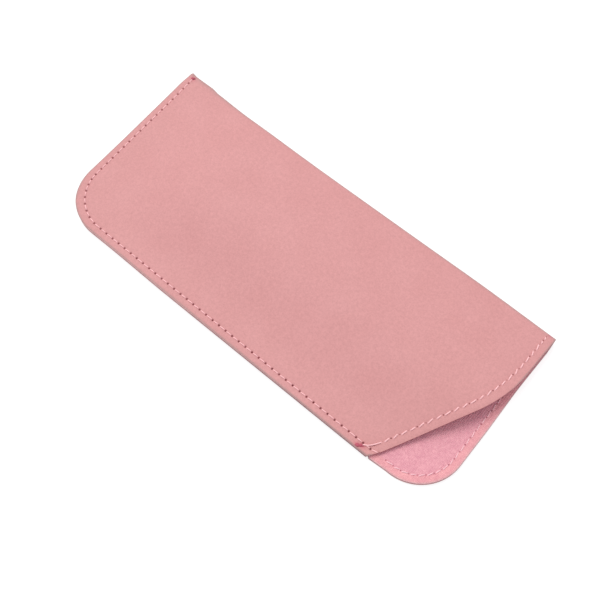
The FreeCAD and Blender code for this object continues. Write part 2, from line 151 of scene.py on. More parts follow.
def front_place(points, depth):
    """Front wall and fold: a point of the flat cut, at a depth under the outer surface. Past the
    flat wall the cut runs over the top, down two quarter-rounds and back in under the case."""
    x, s = points[:, 0], points[:, 1]
    depth = np.broadcast_to(depth, x.shape)
    t = np.clip((s - WRAP_FROM) / WRAP_LONG, 0, 1)
    e = 0.05  # slopes are taken over this much on both sides
    edge_y = fold_edge(x)
    round_y = edge_y
    for _ in range(3):
        round_y = edge_y - ROUND_SHARE * crown(x, round_y)
    bend_long = QUARTER_LONG * (edge_y - round_y + crown(x, round_y) / 2) / 2
    whole = round_y - WRAP_FROM + 2 * bend_long + round_y - BUTT
    step_1 = (round_y - WRAP_FROM) / whole
    step_2 = step_1 + bend_long / whole
    step_3 = step_2 + bend_long / whole
    in_top = t <= step_1
    y = np.where(in_top, s, 0.0)
    y = np.where((s > WRAP_FROM) & in_top, WRAP_FROM + (round_y - WRAP_FROM) * t / step_1, y)
    slope_x = (crown(x + e, y) - crown(x - e, y)) / (2 * e)
    slope_y = (crown(x, y + e) - crown(x, y - e)) / (2 * e)
    place = np.stack([x, y, crown(x, y)], 1)
    normal = np.stack([-slope_x, -slope_y, np.ones_like(x)], 1)
    head = (round_y, crown(x, round_y))
    pitch = (crown(x, round_y + e) - crown(x, round_y - e)) / (2 * e)
    lean = np.sqrt(1 + pitch**2)
    nose = (edge_y, NOSE_SHARE * head[1])
    heel = (round_y, np.zeros_like(x))
    down, back = (np.zeros_like(x), -np.ones_like(x)), (-np.ones_like(x), np.zeros_like(x))
    upper = (t - step_1) / (step_2 - step_1)
    lower = (t - step_2) / (step_3 - step_2)
    for mask, bend in (
        ((t > step_1) & (t <= step_2), quarter(head, (1 / lean, pitch / lean), nose, down, upper)),
        ((t > step_2) & (t <= step_3), quarter(nose, down, heel, back, lower)),
    ):
        (py, pz), (wy, wz) = bend
        place[mask] = np.stack([x, py, pz], 1)[mask]
        normal[mask] = np.stack([np.zeros_like(x), -wz, wy], 1)[mask]
    under = t > step_3
    share = (t - step_3) / (1 - step_3)
    flat_y = round_y + (BUTT - round_y) * share
    place[under] = np.stack([x, flat_y, np.zeros_like(x)], 1)[under]
    normal[under] = (0, 0, -1)
    normal /= np.linalg.norm(normal, axis=1)[:, None]
    return place - normal * depth[:, None]


TAB_FOOT, TAB_HEAD = np.array([TAB_START, -HALF_WIDTH]), np.array([HALF_LENGTH, TAB_TOP])
LIP_HEAD = np.array([MOUTH, FOLD_LINE])


def free_way(foot, head):
    """Direction in plan from a flex line towards its free side."""
    run = (head - foot) / np.linalg.norm(head - foot)
    return np.array([run[1], -run[0]])


def back_place(points, height):
    """Back wall: a point of the flat cut, at a height over the outer surface; the tab curls up."""
    beyond = (points - TAB_FOOT) @ free_way(TAB_FOOT, TAB_HEAD)
    curl = TAB_CURL * np.clip(beyond / CURL_RUN, 0, 1) ** 2
    return np.stack([points[:, 0], points[:, 1], curl + height], 1)


# ---- Outlines and stitch lines -----------------------------------------------------------------


def unit(v):
    return v / np.linalg.norm(v)


def leftwards(v):
    return np.array([-v[1], v[0]])


class Line:
    """A line in plan made of straight runs and tangent rounds, measured by its length."""

    def __init__(self, corners, radii):
        corners = [np.array(c, float) for c in corners]
        self.runs = []
        here = corners[0]
        for i, radius in enumerate(radii, start=1):
            before = corners[i] - corners[i - 1]
            after = corners[i + 1] - corners[i]
            before /= np.linalg.norm(before)
            after /= np.linalg.norm(after)
            cross = before[0] * after[1] - before[1] * after[0]
            turn = math.atan2(cross, float(before @ after))
            reach = radius * math.tan(abs(turn) / 2)
            start = corners[i] - before * reach
            self.runs.append((here, before, float(np.linalg.norm(start - here)), 0.0))
            if reach > 1e-6:
                self.runs.append((start, before, radius * abs(turn), math.copysign(1 / radius, turn)))
            here = corners[i] + after * reach
        last = corners[-1] - here
        length = float(np.linalg.norm(last))
        self.runs.append((here, last / length, length, 0.0))
        self.length = sum(r[2] for r in self.runs)

    def at(self, distance):
        """Point and direction at a distance along the line."""
        for run in self.runs:
            start, way, length, bend = run
            if distance <= length or run is self.runs[-1]:
                break
            distance -= length
        left = leftwards(way)
        if bend == 0:
            return start + way * distance, way
        a = bend * distance
        return (
            start + (way * math.sin(a) + left * (1 - math.cos(a))) / bend,
            way * math.cos(a) + left * math.sin(a),
        )

    def samples(self, step):
        """Points along the line, every corner among them."""
        points, done = [], 0.0
        for _, _, length, _ in self.runs:
            count = max(1, math.ceil(length / step))
            points += [self.at(done + length * (i + 1e-9) / count)[0] for i in range(count)]
            done += length
        points.append(self.at(self.length)[0])
        return np.array(points)

    def turns_at(self, distance):
        for _, _, length, bend in self.runs:
            if distance <= length:
                return bend != 0
            distance -= length
        return False

    def holes(self, pitch_at):
        """Needle holes, each one a stitch further along than the last."""
        found, distance = [], 0.0
        while distance <= self.length:
            found.append(self.at(distance))
            distance += pitch_at(distance)
        return found

    def strip(self, step, offsets):
        """Points in rows beside the line."""
        found = []
        for i in range(int(self.length / step) + 1):
            point, way = self.at(i * step)
            found += [point + leftwards(way) * v for v in offsets]
        return np.array(found)


SCOOP_FOOT = np.array([SCOOP_START, -HALF_WIDTH])
SCOOP_CORNER = np.array([SCOOP_START + SCOOP_SLOPE * SCOOP_TOP, SCOOP_TOP - HALF_WIDTH])
SLANT, UPPER = unit(SCOOP_CORNER - SCOOP_FOOT), unit(LIP_HEAD - SCOOP_CORNER)
seam_line = Line(
    [
        (SEAM_HEAD - HALF_LENGTH, HALF_WIDTH - FIRST_HOLE),
        (SEAM_HEEL - HALF_LENGTH, HEEL_SIDE - HALF_WIDTH),
        (SCOOP_START - 1.0, SEAM_TOE - HALF_WIDTH),
        (SCOOP_START + 2.0, SEAM_TOE + SEAM_STEP - HALF_WIDTH),
        (HALF_LENGTH - SEAM_RIM, SEAM_TOE + SEAM_STEP + SEAM_DRIFT - HALF_WIDTH),
        (HALF_LENGTH - SEAM_RIM, FOLD_LINE - SEAM_RIM),
    ],
    [16.0, 0.0, 0.0, 14.6],
)
hem_corner = (leftwards(SLANT) + leftwards(UPPER)) / (1 + SLANT @ UPPER)
hem_line = Line(
    [
        SCOOP_FOOT + HEM_INSET * leftwards(SLANT) + HEM_START * SLANT,
        SCOOP_CORNER + (HEM_INSET + 0.2) * hem_corner,
        LIP_HEAD + (HEM_INSET + 0.1) * leftwards(UPPER) + 2.6 * UPPER,
    ],
    [HEM_ROUND],
)


def seam_pitch(distance):
    """Shorter stitches round the corners, bunched up where the closed one begins."""
    share = (distance - FIRST_BEND) / BUNCH_RUN
    if 0 <= share <= 1:
        return SEAM_PITCH - BUNCHED + share
    return CORNER_PITCH if seam_line.turns_at(distance) else SEAM_PITCH


def hem_pitch(distance):
    return HEM_PITCH if distance < HEM_END else HEM_END_PITCH


seam_holes = seam_line.holes(seam_pitch)
hem_holes = hem_line.holes(hem_pitch)


def past_slant(point):
    """How far a point in plan is beyond the front wall's slanting edge."""
    return float((point - SCOOP_FOOT) @ -leftwards(SLANT))


# The first holes go through both walls; the rest run round the rim, past the front wall's edge.
through_both = sum(1 for p, _ in seam_holes if p[0] < TAB_FOOT[0] and past_slant(p) < 0.4)
front_holes, rim_holes = seam_holes[:through_both], seam_holes[through_both:]

# ---- Meshes ------------------------------------------------------------------------------------


def new_object(name, vertices, faces, materials, face_slots=None, flat=None, marks=None):
    """A mesh object. marks are values from 0 to 1 on its vertices, by name, for the materials."""
    mesh = bpy.data.meshes.new(name)
    mesh.from_pydata([tuple(v) for v in np.asarray(vertices) * MM], [], faces)
    for mark, values in (marks or {}).items():
        mesh.attributes.new(mark, "FLOAT", "POINT").data.foreach_set("value", values.astype(np.float32))
    if face_slots is not None:
        mesh.polygons.foreach_set("material_index", face_slots)
    if flat is not None:
        layer = mesh.uv_layers.new(name="flat_cut")
        corners = np.zeros(len(mesh.loops), np.int32)
        mesh.loops.foreach_get("vertex_index", corners)
        layer.data.foreach_set("uv", (np.asarray(flat)[corners] / FLAT_UNIT).astype(np.float32).ravel())
    tidy = bmesh.new()
    tidy.from_mesh(mesh)
    bmesh.ops.remove_doubles(tidy, verts=tidy.verts, dist=SAME_PLACE)
    bmesh.ops.dissolve_degenerate(tidy, dist=SAME_PLACE / 2, edges=tidy.edges)
    bmesh.ops.recalc_face_normals(tidy, faces=tidy.faces)
    tidy.to_mesh(mesh)
    tidy.free()
    mesh.polygons.foreach_set("use_smooth", [True] * len(mesh.polygons))
    mesh.update()
    for look in materials:
        mesh.materials.append(look)
    made = bpy.data.objects.new(name, mesh)
    bpy.context.scene.collection.objects.link(made)
    return made


def triangulated(rim, inner):
    """Points and counter-clockwise triangles that fill the rim; the rim's points come first."""
    count = len(rim)
    given = [Vector(p) for p in rim] + [Vector(p) for p in inner]
    points, _, faces, origin, _, _ = delaunay_2d_cdt(given, [], [list(range(count))], 1, 1e-5)
    index = {}
    for made, source in enumerate(origin):
        for i in source:
            index[i] = made
    order = [index[i] for i in range(count)]
    taken = set(order)
    order += [i for i in range(len(points)) if i not in taken]
    back = {old: new for new, old in enumerate(order)}
    flat = np.array([points[i] for i in order])
    return flat, [[back[i] for i in f] for f in faces]


def inside(points, rim):
    """Mask of the points inside a closed outline."""
    x, y = points[:, 0], points[:, 1]
    found = np.zeros(len(points), bool)
    for (ax, ay), (bx, by) in zip(rim, np.roll(rim, -1, axis=0)):
        crosses = (ay > y) != (by > y)
        with np.errstate(divide="ignore", invalid="ignore"):
            at = ax + (y - ay) / (by - ay) * (bx - ax)
        found ^= crosses & (x < at)
    return found


def tree_of(points):
    tree = kdtree.KDTree(len(points))
    for i, p in enumerate(points):
        tree.insert((p[0], p[1], 0), i)
    tree.balance()
    return tree


def gaps(points, tree):
    """Distance from each point to the nearest of the tree's points."""
    return np.array([tree.find((p[0], p[1], 0))[2] for p in points])


def filling(rim, step, dense):
    """Inner points: the dense ones beside the stitches, then a plain grid clear of them."""
    dense_clear, grid_clear, apart_clear, rim_clear = 0.5, 0.9, 0.1, 0.8
    low, high = rim.min(0), rim.max(0)
    gx, gy = (np.linspace(low[i], high[i], int((high[i] - low[i]) / step) + 1) for i in (0, 1))
    grid = np.array([(x, y) for x in gx for y in gy])
    near_rim = tree_of(rim)
    if len(dense):
        dense = dense[inside(dense, rim)]
        dense = dense[gaps(dense, near_rim) > dense_clear]
        apart, kept = tree_of(dense), []
        for i, p in enumerate(dense):
            close = [j for _, j, _ in apart.find_range((p[0], p[1], 0), apart_clear)]
            if min(close) == i:
                kept.append(i)
        dense = dense[kept]
        grid = grid[gaps(grid, tree_of(dense)) > grid_clear]
    grid = grid[inside(grid, rim)]
    grid = grid[gaps(grid, near_rim) > rim_clear]
    return np.concatenate([dense, grid])


# Rings of points round a needle hole: radius and number; and rows beside a seam.
HOLE_RINGS = ((0.0, 1), (0.16, 8), (0.3, 12), (0.42, 16), (0.6, 16))
SEAM_ROWS = (-1.6, -0.95, -0.45, 0, 0.45, 0.95, 1.6)


def punched(line, holes):
    """Inner points for a stitched sheet: rings round each needle hole, then rows beside the seam."""
    rings = []
    for hole, _ in holes:
        for radius, count in HOLE_RINGS:
            for k in range(count):
                a = 2 * math.pi * k / count
                rings.append(hole + radius * np.array([math.cos(a), math.sin(a)]))
    rows = line.strip(0.45, SEAM_ROWS)
    rows = rows[gaps(rows, tree_of([p for p, _ in holes])) > 0.75]
    return np.concatenate([np.array(rings), rows])


def sewn(line, holes, groove, depth, radius, dark, uneven=0.0, faint=0.0):
    """What stitches do to a sheet's surface: how far it is pulled in, how strongly its colour is darkened
    as painted shade in a needle hole, and how far it is pressed, outside the seam. It sinks in a shallow
    groove along the seam and a round hole at each needle hole. dark is how dark that painted shade is,
    uneven is how much the holes differ from one to the next, and faint is how much weaker the first ones
    are."""
    line_points = [line.at(i * 0.2) for i in range(int(line.length / 0.2))]
    along = tree_of([p for p, _ in line_points])
    spots = tree_of([p for p, _ in holes])

    def effect(points):
        sunk, painted_hole_shade, pressed = np.zeros((3, len(points)))
        for i, p in enumerate(points):
            at = (p[0], p[1], 0)
            _, nearest, gap = along.find(at)
            seam_point, way = line_points[nearest]
            inwards = float((p - seam_point) @ leftwards(way))
            pressed[i] = float(smooth(0.5 - inwards / 0.9))
            if gap > 3:
                continue
            sunk[i] = groove * math.exp(-((gap / 0.8) ** 2))
            _, hole, reach = spots.find(at)
            share = 1 - uneven * (0.5 + 0.5 * math.sin(2.1 * hole))
            share -= faint * (1 - hole / len(holes)) ** 1.4
            rim = float(smooth(1 - (reach - 0.1 * radius) / (0.95 * radius)))
            sunk[i] += depth * rim * share + 0.08 * math.exp(-((reach / 0.9) ** 2))
            # Painted shade: the colour in and round a needle hole is darkened, standing in for the shade
            # inside the hole.
            painted_hole_shade[i] = dark * share * float(smooth(1 - (reach - 0.45 * radius) / (0.75 * radius)))
        return sunk, painted_hole_shade, pressed

    return effect


def together(*effects):
    """Two rows of stitches at once; the first one's outer side counts as pressed."""

    def effect(points):
        made = [e(points) for e in effects]
        return sum(m[0] for m in made), sum(m[1] for m in made), made[0][2]

    return effect


def bevel_offsets(rim, square, bevel):
    """How far each point of the rim moves in for a bevel. Where two square edges meet it stays."""
    count = len(rim)
    offsets = np.zeros((count, 2))
    for i in range(count):
        before = unit(rim[i] - rim[i - 1])
        after = unit(rim[(i + 1) % count] - rim[i])
        sides = [leftwards(way) for way in (before, after)]
        if square[i - 1] and square[i]:
            continue
        if square[i - 1]:
            offsets[i] = before * -1 * bevel / max(0.3, abs(float(before @ sides[1])))
        elif square[i]:
            offsets[i] = after * bevel / max(0.3, abs(float(after @ sides[0])))
        else:
            both = sides[0] + sides[1]
            offsets[i] = both * bevel / max(0.6, float(both @ both) / 2)
    return offsets


def edge_marks(flat, rim_ring, starts, on_front):
    """The marks for worn edges and for painted shade on a sheet's points. The cut edge is worn, but for the
    butt run, and so is the fold's nose; the lip's edge isn't, and gets a dark red painted shade instead.
    The painted shade lies along the stitched side, darker towards the mouth and more on the back wall, and
    under the fold."""
    worn = np.zeros(len(flat))
    worn[: len(rim_ring)] = rim_ring
    worn[starts[1] : starts[4]] = np.tile(rim_ring, 3)
    x, y = flat[:, 0], flat[:, 1]
    # Painted shade on the cut edge: darker towards the mouth along the stitched side, low down at the back,
    # and under the fold.
    run = np.clip((x + 45) / 100, 0, 1) * (1 - 0.85 * smooth((x - 58) / 10))
    shade = smooth((26 - y) / 24) * (0.6 * run if on_front else 0.2 + 0.8 * run)
    shade += 0.4 * smooth((y - 30) / 5)
    if on_front:
        # The lip's edge loses the worn mark, so that the cut edge there takes the dark red painted shade.
        up_lip = (flat - SCOOP_FOOT) @ SLANT
        lip = smooth((x - 54) / 6) * smooth((up_lip - 0.6) / 2)
        worn *= 1 - lip * (1 - smooth((y - 4) / 12))
        worn = np.maximum(worn, np.exp(-(((y - FOLD_NOSE) / 3.6) ** 4)))
    return worn, shade


def cut_sheet(name, rim, butt, inner, coarse, place, shown, hidden, sink, materials, bevel):
    """A closed sheet. rim is its outline, counter-clockwise; its last run, from point number butt on,
    butts against the neighbouring sheet and stays square. shown and hidden are the depths of the
    two faces; sink shapes the shown one."""
    count = len(rim)
    square = np.zeros(count, bool)
    square[butt:] = True
    offsets = bevel_offsets(rim, square, bevel)
    drop = np.where(square & np.roll(square, 1), 0.0, bevel)
    sign = 1.0 if hidden > shown else -1.0
    inset = rim + offsets
    top, top_faces = triangulated(inset, inner)
    low, low_faces = triangulated(inset, coarse)
    sunk, painted_hole_shade, pressed = sink(top)
    turned = 1 - 1 / math.sqrt(2)
    layers = [
        (top, place(top, shown + sign * sunk)),
        (rim + offsets * turned, place(rim + offsets * turned, shown + sign * drop * turned)),
        (rim, place(rim, shown + sign * drop)),
        (rim, place(rim, hidden - sign * drop)),
        (low, place(low, np.full(len(low), hidden))),
    ]
    starts = np.cumsum([0] + [len(p) for p, _ in layers])
    faces = [list(f) for f in top_faces]
    slots = [0] * len(faces)
    for ring in range(4):
        a, b = int(starts[ring]), int(starts[ring + 1])
        for i in range(count):
            j = (i + 1) % count
            faces.append([a + i, b + i, b + j, a + j])
            slots.append(0 if ring == 0 else 1)
    faces += [[int(starts[4]) + i for i in reversed(f)] for f in low_faces]
    slots += [0] * len(low_faces)
    flat = np.concatenate([p for p, _ in layers])
    others = np.zeros(len(flat) - len(top))
    rim_ring = np.ones(count)
    rim_ring[butt + 1 :] = 0.0
    worn, shade = edge_marks(flat, rim_ring, starts, place is front_place)
    # Marks for the materials: painted shade in the needle holes and along the cut edges, and worn and
    # pressed edges.
    marks = {
        "painted_hole_shade": np.concatenate([painted_hole_shade, others]),
        "pressed": np.concatenate([pressed, others]),
        "worn": worn,
        "shade": shade,
    }
    made = new_object(name, np.concatenate([q for _, q in layers]), faces, materials, slots, flat, marks)
    area = abs(np.sum(rim[:, 0] * np.roll(rim[:, 1], -1) - np.roll(rim[:, 0], -1) * rim[:, 1])) / 2
    made["cut_area_mm2"] = float(area)
    return made


# ---- Materials ---------------------------------------------------------------------------------


def material(name, build):
    made = bpy.data.materials.new(name)
    made.use_nodes = True
    nodes = made.node_tree.nodes
    build(nodes, made.node_tree.links, nodes["Principled BSDF"])
    return made


WHITE = (1.0, 1.0, 1.0)


def tinted(nodes, links, source, low, high, span=(0.3, 0.7)):
    """Colour that runs from low to high as the source value crosses the span."""
    ramp = nodes.new("ShaderNodeValToRGB")
    ramp.color_ramp.elements[0].position, ramp.color_ramp.elements[1].position = span
    ramp.color_ramp.elements[0].color = (*low, 1)
    ramp.color_ramp.elements[1].color = (*high, 1)
    links.new(source, ramp.inputs["Fac"])
    return ramp.outputs["Color"]


def noise(nodes, links, place, scale, detail=2.0, rough=0.5):
    made = nodes.new("ShaderNodeTexNoise")
    made.inputs["Scale"].default_value = scale
    made.inputs["Detail"].default_value = detail
    made.inputs["Roughness"].default_value = rough
    links.new(place, made.inputs["Vector"])
    return made.outputs["Fac"]


def mixed(nodes, links, factor, a, b, blend="MIX"):
    made = nodes.new("ShaderNodeMix")
    made.data_type, made.blend_type = "RGBA", blend
    for socket, value in ((0, factor), (6, a), (7, b)):
        if isinstance(value, (int, float)):
            made.inputs[socket].default_value = value
        elif isinstance(value, tuple):
            made.inputs[socket].default_value = (*value, 1)
        else:
            links.new(value, made.inputs[socket])
    return made.outputs[2]


def maths(nodes, links, kind, a, b=None):
    made = nodes.new("ShaderNodeMath")
    made.operation = kind
    for i, value in enumerate((a, b)):
        if value is None:
            continue
        if isinstance(value, (int, float)):
            made.inputs[i].default_value = value
        else:
            links.new(value, made.inputs[i])
    return made.outputs[0]


def bumped(nodes, links, shader, height, distance, strength=1.0):
    made = nodes.new("ShaderNodeBump")
    made.inputs["Strength"].default_value = strength
    made.inputs["Distance"].default_value = distance
    links.new(height, made.inputs["Height"])
    links.new(made.outputs["Normal"], shader.inputs["Normal"])


def flat_cut(nodes):
    """Coordinates on the flat cut, 100 mm to the unit, so that grain and weave bend with the sheet."""
    made = nodes.new("ShaderNodeUVMap")
    made.uv_map = "flat_cut"
    return made.outputs["UV"]


def marked(nodes, links, colour, mark, tint, power=1.0):
    """The colour, tinted where the sheet has the mark: painted shade in needle holes and along cut edges,
    stains, and worn or pressed edges.
    """
    found = nodes.new("ShaderNodeAttribute")
    found.attribute_name = mark
    tinted_colour = mixed(nodes, links, 1.0, colour, tint, "MULTIPLY")
    share = maths(nodes, links, "POWER", found.outputs["Fac"], power)
    return mixed(nodes, links, share, colour, tinted_colour)


def leather_look(nodes, links, shader):
    """Imitation leather: a very fine pebbled grain over broad, faint changes of tone."""
    place = flat_cut(nodes)
    clouds = noise(nodes, links, place, 7)
    broad = tinted(nodes, links, clouds, (0.554, 0.253, 0.250), (0.574, 0.268, 0.266))
    patches = noise(nodes, links, place, 75, 4, 0.65)
    patchy = tinted(nodes, links, patches, (0.90, 0.90, 0.90), WHITE)
    colour = mixed(nodes, links, 1.0, broad, patchy, "MULTIPLY")
    grain = nodes.new("ShaderNodeTexVoronoi")
    grain.feature = "SMOOTH_F1"
    grain.inputs["Scale"].default_value = 190
    links.new(place, grain.inputs["Vector"])
    fine = noise(nodes, links, place, 420, 3, 0.6)
    pebbles = maths(nodes, links, "MULTIPLY", grain.outputs["Distance"], 0.8)
    height = maths(nodes, links, "ADD", pebbles, fine)
    pits = tinted(nodes, links, height, (0.90, 0.90, 0.90), WHITE, (0.55, 1.0))
    grained = mixed(nodes, links, 1.0, colour, pits, "MULTIPLY")
    edged = marked(nodes, links, grained, "worn", (0.72, 0.92, 0.89), 4.0)
    stained = marked(nodes, links, edged, "stained", (0.94, 0.60, 0.72))
    # Painted shade: needle holes are darkened to a dull red, for the shade inside them.
    links.new(marked(nodes, links, stained, "painted_hole_shade", (0.60, 0.40, 0.45)), shader.inputs["Base Color"])
    bumped(nodes, links, shader, height, 0.00005, 0.8)
    shader.inputs["Roughness"].default_value = 0.6
    shader.inputs["Specular IOR Level"].default_value = 0.3


def cut_edge_look(nodes, links, shader):
    """The leather's cut edge: greyed fibre, a little uneven, with painted shade: darker along the long side
    towards the mouth and darkest at the back, and a dark red painted shade along the lip, for the shadow
    line under it."""
    place = flat_cut(nodes)
    tufts = noise(nodes, links, place, 60, 3)
    fibre = tinted(nodes, links, tufts, (0.585, 0.36, 0.34), (0.69, 0.435, 0.405))
    # Painted shade along the stitched side, at the back and under the fold.
    edge_with_painted_shade = marked(nodes, links, fibre, "shade", (0.42, 0.44, 0.44))
    worn = nodes.new("ShaderNodeAttribute")
    worn.attribute_name = "worn"
    # Painted shade: where the edge isn't worn, along the lip, it is dark red, for the shadow line under the
    # lip.
    edge_with_lip_painted_shade = mixed(nodes, links, worn.outputs["Fac"], (0.30, 0.08, 0.105), edge_with_painted_shade)
    links.new(edge_with_lip_painted_shade, shader.inputs["Base Color"])
    bumped(nodes, links, shader, noise(nodes, links, place, 500, 4, 0.7), 0.00006, 0.8)
    shader.inputs["Roughness"].default_value = 0.95
    shader.inputs["Specular IOR Level"].default_value = 0.15


def lining_look(nodes, links, shader):
    """Fine woven cloth: warp and weft ribs under a short nap, with slubs that break up their tone."""
    place = flat_cut(nodes)
    heights = []
    for direction, scale in (("X", 42), ("Y", 52)):
        wave = nodes.new("ShaderNodeTexWave")
        wave.bands_direction = direction
        wave.inputs["Scale"].default_value = scale
        wave.inputs["Distortion"].default_value = 2.2
        wave.inputs["Detail"].default_value = 2
        wave.inputs["Detail Scale"].default_value = 3
        links.new(place, wave.inputs["Vector"])
        heights.append(wave.outputs["Fac"])
    weave = maths(nodes, links, "MULTIPLY", heights[0], heights[1])
    fluff = noise(nodes, links, place, 150, 5, 0.7)
    height = maths(nodes, links, "ADD", weave, maths(nodes, links, "MULTIPLY", fluff, 1.4))
    ribs = tinted(nodes, links, height, (0.84, 0.78, 0.82), WHITE, (0.35, 1.5))
    slubs = noise(nodes, links, place, 30, 4)
    broad = tinted(nodes, links, slubs, (0.70, 0.33, 0.375), (0.765, 0.38, 0.415))
    flecks = tinted(nodes, links, noise(nodes, links, place, 95, 3, 0.6), (0.86, 0.77, 0.82), WHITE)
    ribbed = mixed(nodes, links, 1.0, broad, ribs, "MULTIPLY")
    napped = mixed(nodes, links, 1.0, ribbed, flecks, "MULTIPLY")
    pressed = marked(nodes, links, napped, "pressed", (1.05, 1.04, 0.97))
    edged = marked(nodes, links, pressed, "worn", (0.83, 1.10, 1.04), 3.5)
    # Painted shade: needle holes in the lining are darkened, for the shade inside them.
    links.new(marked(nodes, links, edged, "painted_hole_shade", (0.62, 0.42, 0.50)), shader.inputs["Base Color"])
    bumped(nodes, links, shader, height, 0.00012, 0.9)
    shader.inputs["Roughness"].default_value = 0.95
    shader.inputs["Specular IOR Level"].default_value = 0.1
    shader.inputs["Sheen Weight"].default_value = 0.2
    shader.inputs["Sheen Roughness"].default_value = 0.6


def thread_look(colour, shine, rough):
    """Spun fibres of one colour."""

    def build(nodes, links, shader):
        place = nodes.new("ShaderNodeTexCoord").outputs["Object"]
        fibres = noise(nodes, links, place, 2600, 3, 0.6)
        dark = tuple(c * 0.82 for c in colour)
        links.new(tinted(nodes, links, fibres, dark, colour), shader.inputs["Base Color"])
        bumped(nodes, links, shader, fibres, 0.00004, 0.6)
        shader.inputs["Roughness"].default_value = rough
        shader.inputs["Specular IOR Level"].default_value = shine

    return build


leather = material("leather_pink", leather_look)
leather_edge = material("leather_cut_edge", cut_edge_look)
lining = material("lining_weave", lining_look)
thread = material("thread_pink", thread_look((0.86, 0.49, 0.50), 0.3, 0.55))
seam_thread = material("thread_seam", thread_look((0.86, 0.48, 0.49), 0.25, 0.6))
rim_thread = material("thread_rim", thread_look((0.87, 0.51, 0.555), 0.2, 0.7))
crimson = material("thread_melted", thread_look((0.43, 0.09, 0.13), 0.2, 0.6))

# ---- The four sheets ---------------------------------------------------------------------------

# The butt run has this many points, and the fold this many rows across and along it.
BUTT_POINTS, WRAP_COLUMNS, WRAP_ROWS = 117, 118, 18
# The lining is cut this much smaller all round. Bevels of the cut edges.
LINING_INSET, LEATHER_BEVEL, LINING_BEVEL = 0.12, 0.22, 0.1
# The nick in the back wall's edge and how much narrower the tab is cut, with its round.
NICK, TAB_CUT, TAB_ROUND = 0.65, 0.55, 17.2
# Radii of the needle holes, and of the front wall's corners.
SEAM_HOLE, RIM_HOLE, HEM_HOLE = 0.47, 0.33, 0.33
FRONT_RADII = [CORNER, 0.4, 14.0, SCOOP_ROUND, 2.0]


def rim_of(corners, radii, butt_end):
    """A sheet's outline from the closed end's butt corner round to the mouth's, then the butt run.
    Returns the points and the number of the first one of the butt run."""
    line = Line(corners, radii)
    free = line.samples(0.8)
    butt = np.linspace(free[-1], butt_end, BUTT_POINTS)[:-1]
    return np.concatenate([free, butt[1:]]), len(free) - 1


def trimmed(rim):
    """The outline as cut by hand: drawn in along the closed end and towards the closed corner."""
    x, y = rim[:, 0], np.minimum(rim[:, 1], 2 * FOLD_NOSE - rim[:, 1])
    end = smooth((-80 - x) / 6) * smooth((y + 38) / 20) * (0.8 - 0.5 * smooth((y + 10) / 46))
    end += 0.3 * smooth((-80 - x) / 6) * smooth((y - 31) / 5)
    side = 0.35 * smooth((-30 - x) / 30) * smooth((-14 - y) / 10)
    return np.stack([x + end, rim[:, 1] + side], 1)


def front_corners(gap):
    """Corners of the front sheet in the flat cut, each a gap inside the leather's edge."""
    return [
        (-HALF_LENGTH + gap, WRAP_FROM + WRAP_LONG),
        (-HALF_LENGTH + gap, -HALF_WIDTH + gap),
        (SCOOP_START - 0.8 - gap, -HALF_WIDTH + gap),
        SCOOP_FOOT + 4.0 * SLANT - (gap, 0),
        SCOOP_CORNER - (gap, 0),
        (MOUTH - gap, WRAP_FROM + WRAP_LONG * 0.3),
        (HALF_LENGTH - gap, WRAP_FROM + WRAP_LONG),
    ]


wrap_rows = np.array(
    [
        (x, WRAP_FROM + WRAP_LONG * share)
        for x in np.linspace(-HALF_LENGTH + 1.2, MOUTH - 0.9, WRAP_COLUMNS)
        for share in np.linspace(0.1, 0.95, WRAP_ROWS)
    ]
)


def front_sheet(name, gap, shown, hidden, sink, dense, materials, bevel):
    corners = front_corners(gap)
    rim, butt = rim_of(corners, FRONT_RADII, np.array(corners[0]))
    rim = trimmed(rim)
    wrap = wrap_rows[gaps(wrap_rows, tree_of(dense)) > 0.5]
    inner = filling(rim, 2.0, np.concatenate([dense, wrap]))
    coarse = filling(rim, 5.0, wrap_rows[::3])
    return cut_sheet(name, rim, butt, inner, coarse, front_place, shown, hidden, sink, materials, bevel)


def back_sheet(name, gap, shown, hidden, sink, dense, materials, bevel):
    """The back wall's outline has a nick where the front wall ends, and the tab past it is cut a
    little narrower; the mouth edge bows slightly."""
    side = -HALF_WIDTH + gap
    corners = [
        (-HALF_LENGTH + gap, BUTT),
        (-HALF_LENGTH + gap, side),
        (SCOOP_START - 1.1, side),
        (SCOOP_START - 0.7, side + NICK),
        (SCOOP_START + 0.1, side + 0.1),
        (SCOOP_START + 7.0, side + TAB_CUT),
        (HALF_LENGTH - gap, side + TAB_CUT),
        (HALF_LENGTH - gap, -4),
        (HALF_LENGTH - gap - 0.35, 14),
        (HALF_LENGTH - gap, BUTT),
    ]
    radii = [CORNER, 0.0, 0.1, 0.3, 3.0, TAB_ROUND, 200, 200]
    rim, butt = rim_of(corners, radii, np.array(corners[0]))
    rim = trimmed(rim)
    inner = filling(rim, 2.2, dense)
    coarse = filling(rim, 5.0, np.zeros((0, 2)))
    return cut_sheet(name, rim, butt, inner, coarse, back_place, shown, hidden, sink, materials, bevel)


